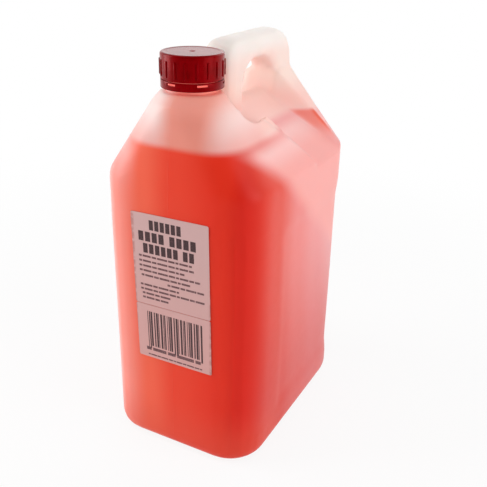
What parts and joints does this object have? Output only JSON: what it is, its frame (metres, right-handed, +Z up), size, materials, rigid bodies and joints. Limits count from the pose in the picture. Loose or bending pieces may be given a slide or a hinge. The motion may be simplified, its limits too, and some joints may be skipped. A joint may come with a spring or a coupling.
{
  "type": "hand soap refill pack",
  "caption": "Milky plastic jerrycan with a hollow carrying handle and a ribbed screw cap, filled with red liquid hand soap for refilling dispensers.",
  "frame": {"origin": "on the floor, under the middle of the can's overall box", "axes": "+Z up, +Y from the label side to the rear along the handle, +X to the can's left as seen from its rear"},
  "size_m": [0.1282, 0.1814, 0.3083],
  "materials": {
    "milky_plastic": "satin, translucent natural polyethylene, tinted by the red filling below its level",
    "red_soap": "clear red liquid seen through the wall",
    "red_cap": "gloss, moulded deep red",
    "pale_liner": "matt foamed disc",
    "label_film": "satin self-adhesive film"
  },
  "bodies": {
    "can": {"bottle": "milky_plastic", "liquid_soap": "red_soap", "tamper_band": "red_cap", "label_upper": "label_film", "label_lower": "label_film"},
    "closure": {"cap_liner": "pale_liner"},
    "cap": {"cap": "red_cap"}
  },
  "joints": [
    {"name": "cap_lift", "type": "slide", "parent": "can", "child": "closure", "axis": [0, 0, 1], "range_m": [0, 0.0064]},
    {"name": "cap_turn", "type": "hinge", "parent": "closure", "child": "cap", "pos_m": [0, -0.0573, 0.2817], "axis": [0, 0, 1], "range_deg": [0, 540]}
  ],
  "couplings": [
    {"joint": "cap_lift", "follows": "cap_turn", "m_per_rad": 0.00066845}
  ]
}
